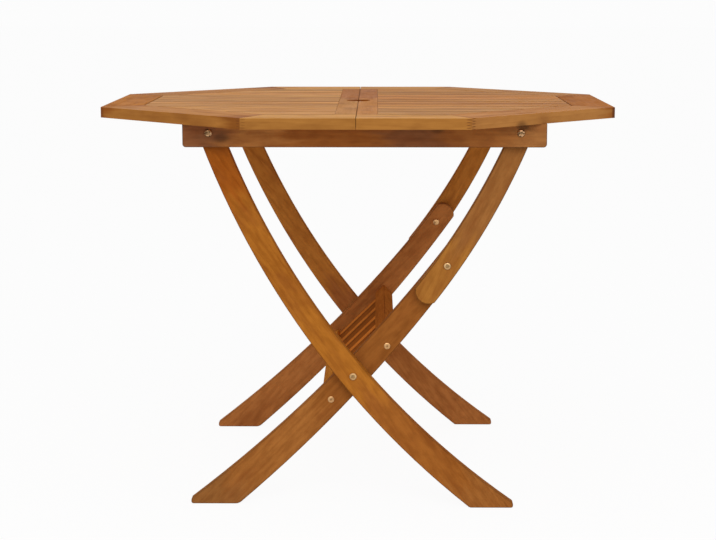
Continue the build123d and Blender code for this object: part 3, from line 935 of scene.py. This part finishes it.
low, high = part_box("rail_pivot_bolts")
rail_level = low.z + BOLT_RADIUS
rail_places = [(low.x + BOLT_RADIUS, rail_level), (high.x - BOLT_RADIUS, rail_level)]
low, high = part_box("brace_screws")
lower_screw = (low.x + SCREW_RADIUS, low.z + SCREW_RADIUS)
upper_screw = (high.x - SCREW_RADIUS, high.z - SCREW_RADIUS)
cross = middle_axis("crossing_bolts")
knee = middle_axis("knee_bolt_front")
print("crossing at", [round(v, 4) for v in cross[0]], "knee at", [round(v, 4) for v in knee[0]])

# %% [markdown]
# The rail bolts pass through the rails and the legs into cap nuts, and stay with the top. The
# crossing bolts and the brace screws go with the inner legs. Each knee has a bolt half on its link
# and a sleeve half on the inner leg, so that the pivot can open and close as the table folds. The
# screws have low heads, because the outer legs pass over them.

# %% Bolts, nuts and screws
RAIL_SHANK = 0.0495
CROSS_SHANK = 0.0385
KNEE_SHANK = 0.0217
SCREW_SHANK = 0.052
rail_seats = pairs(rail_places, RAIL_FACE)
nut_seats = pairs(rail_places, NUT_FACE, True)
cross_seats = pairs(cross, LEG_FACE + CLEARANCE)
sleeve_seats = pairs(knee, INSIDE, True)
screw_seats = pairs([lower_screw, upper_screw], INNER_FACE)
top = "table_top"
legs = "inner_legs"
add_fixings("rail_bolts", "rail_pivot_bolts", top, rail_seats, BOLT, RAIL_SHANK, True, shaded_zinc)
add_fixings("rail_nuts", "rail_pivot_nuts", top, nut_seats, NUT, CLEARANCE, False, shaded_zinc)
add_fixings("cross_bolts", "crossing_bolts", legs, cross_seats, BOLT, CROSS_SHANK, True, zinc)
for end, seat in zip(("front", "back"), pairs(knee, LEG_FACE)):
    link = f"upper_link_{end}"
    add_fixings(f"knee_pin_{end}", f"knee_bolt_{end}", link, [seat], BOLT, KNEE_SHANK, True, zinc)
add_fixings("knee_sleeves", "knee_sleeve_nuts", legs, sleeve_seats, BOLT, KNEE_SHANK, False, warm_zinc)
add_fixings("brace_screw_heads", "brace_screws", legs, screw_seats, SCREW, SCREW_SHANK, True, warm_zinc)

# %% [markdown]
# The table stands on a pale floor in a white studio. The floor is matt, so it still takes the soft
# shadow of the feet, and to the camera it is lifted most of the way to white. It could be lit until
# it is white, but then the table would be too bright. One wide, flat face is all that it needs.

# %% Floor
FLOOR_REACH = 40
FLOOR_GREY = (0.9, 0.9, 0.9, 1)
FLOOR_LIFT = 0.93


def pale_floor():
    """Matt grey for the light, and nearly white for the camera."""
    finish, matt, bench = new_finish("studio_floor")
    matt.inputs["Base Color"].default_value = FLOOR_GREY
    matt.inputs["Roughness"].default_value = 0.9
    matt.inputs["Specular IOR Level"].default_value = 0.0
    rays = bench.add("ShaderNodeLightPath", None, None, "Is Camera Ray")
    glow = bench.add("ShaderNodeEmission", None, {"Color": (1, 1, 1, 1), "Strength": 1.0})
    layers = {0: rays * FLOOR_LIFT, 1: Wire(bench, matt.outputs[0]), 2: glow}
    mixed = bench.add("ShaderNodeMixShader", None, layers)
    bench.feed(mixed, finish.node_tree.nodes["Material Output"], "Surface")
    return finish


mesh = bpy.data.meshes.new("floor")
rim = [(x * FLOOR_REACH, y * FLOOR_REACH, 0) for x, y in ((-1, -1), (1, -1), (1, 1), (-1, 1))]
mesh.from_pydata(rim, [], [(0, 1, 2, 3)])
mesh.materials.append(pale_floor())
floor = bpy.data.objects.new("floor", mesh)
bpy.context.scene.collection.objects.link(floor)
print("floor:", 2 * FLOOR_REACH, "m wide")

# %% [markdown]
# The surroundings give the even light of a white room. Walls could be built for that, but a plain
# world is quicker and has no corners. Light Path tells what a ray is for: the camera, and the
# metal's reflections, see nearly white, while the light that falls on the table is kept at a plain
# level, at which a colour renders about as it is written.

# %% Surroundings
AMBIENT = 0.66
WHITE = 0.975
world = bpy.data.worlds.new("studio")
bpy.context.scene.world = world
world.use_nodes = True
bench = Bench(world.node_tree)
rays = bench.add("ShaderNodeLightPath").socket.node.outputs
seen = Wire(bench, rays["Is Camera Ray"]) + Wire(bench, rays["Is Glossy Ray"])
seen = seen + Wire(bench, rays["Is Transmission Ray"])
background = world.node_tree.nodes["Background"]
background.inputs["Color"].default_value = (1, 1, 1, 1)
bench.feed(AMBIENT + seen.maths("MINIMUM", 1.0) * (WHITE - AMBIENT), background, "Strength")
print("white studio, ambient", AMBIENT)

# %% [markdown]
# One broad lamp above the camera lights the faces that we see and leaves a soft shadow under the
# top. It is a rectangle, like a photographer's softbox: the larger it is, the softer its shadows.
# It looks at the middle of the table, a little below the top.

# %% Lamp
softbox = bpy.data.lights.new("overhead_softbox", "AREA")
softbox.shape = "RECTANGLE"
softbox.size = 3.0
softbox.size_y = 2.0
softbox.energy = 52.0
lamp_target = Vector((0, 0, 0.45))
lamp = bpy.data.objects.new("overhead_softbox", softbox)
lamp.location = (0.1, -3.0, 2.2)
lamp.rotation_mode = "QUATERNION"
lamp.rotation_quaternion = (lamp_target - lamp.location).to_track_quat("-Z", "Y")
bpy.context.scene.collection.objects.link(lamp)
print("lamp:", softbox.energy, "W")

# %% [markdown]
# The camera stands where the photograph was taken from: a little above the table top, about three
# and a half metres away, with a long lens. Its place could be found by trial, but it was worked out
# from the eight corners of the top, the seam and the bolts, which is surer.

# %% Camera
LOOKING_DOWN = math.radians(9.149)
LOOKING_LEFT = math.radians(0.580)
eye = bpy.data.cameras.new("eye")
eye.sensor_width = 36.0
eye.lens = 88.53
camera = bpy.data.objects.new("eye", eye)
camera.location = (0.0351, -3.5621, 0.9769)
camera.rotation_euler = (math.radians(90) - LOOKING_DOWN, 0, LOOKING_LEFT)
bpy.context.scene.collection.objects.link(camera)
bpy.context.scene.camera = camera
bpy.context.scene.view_settings.view_transform = "Standard"
print("camera lens", eye.lens, "mm")
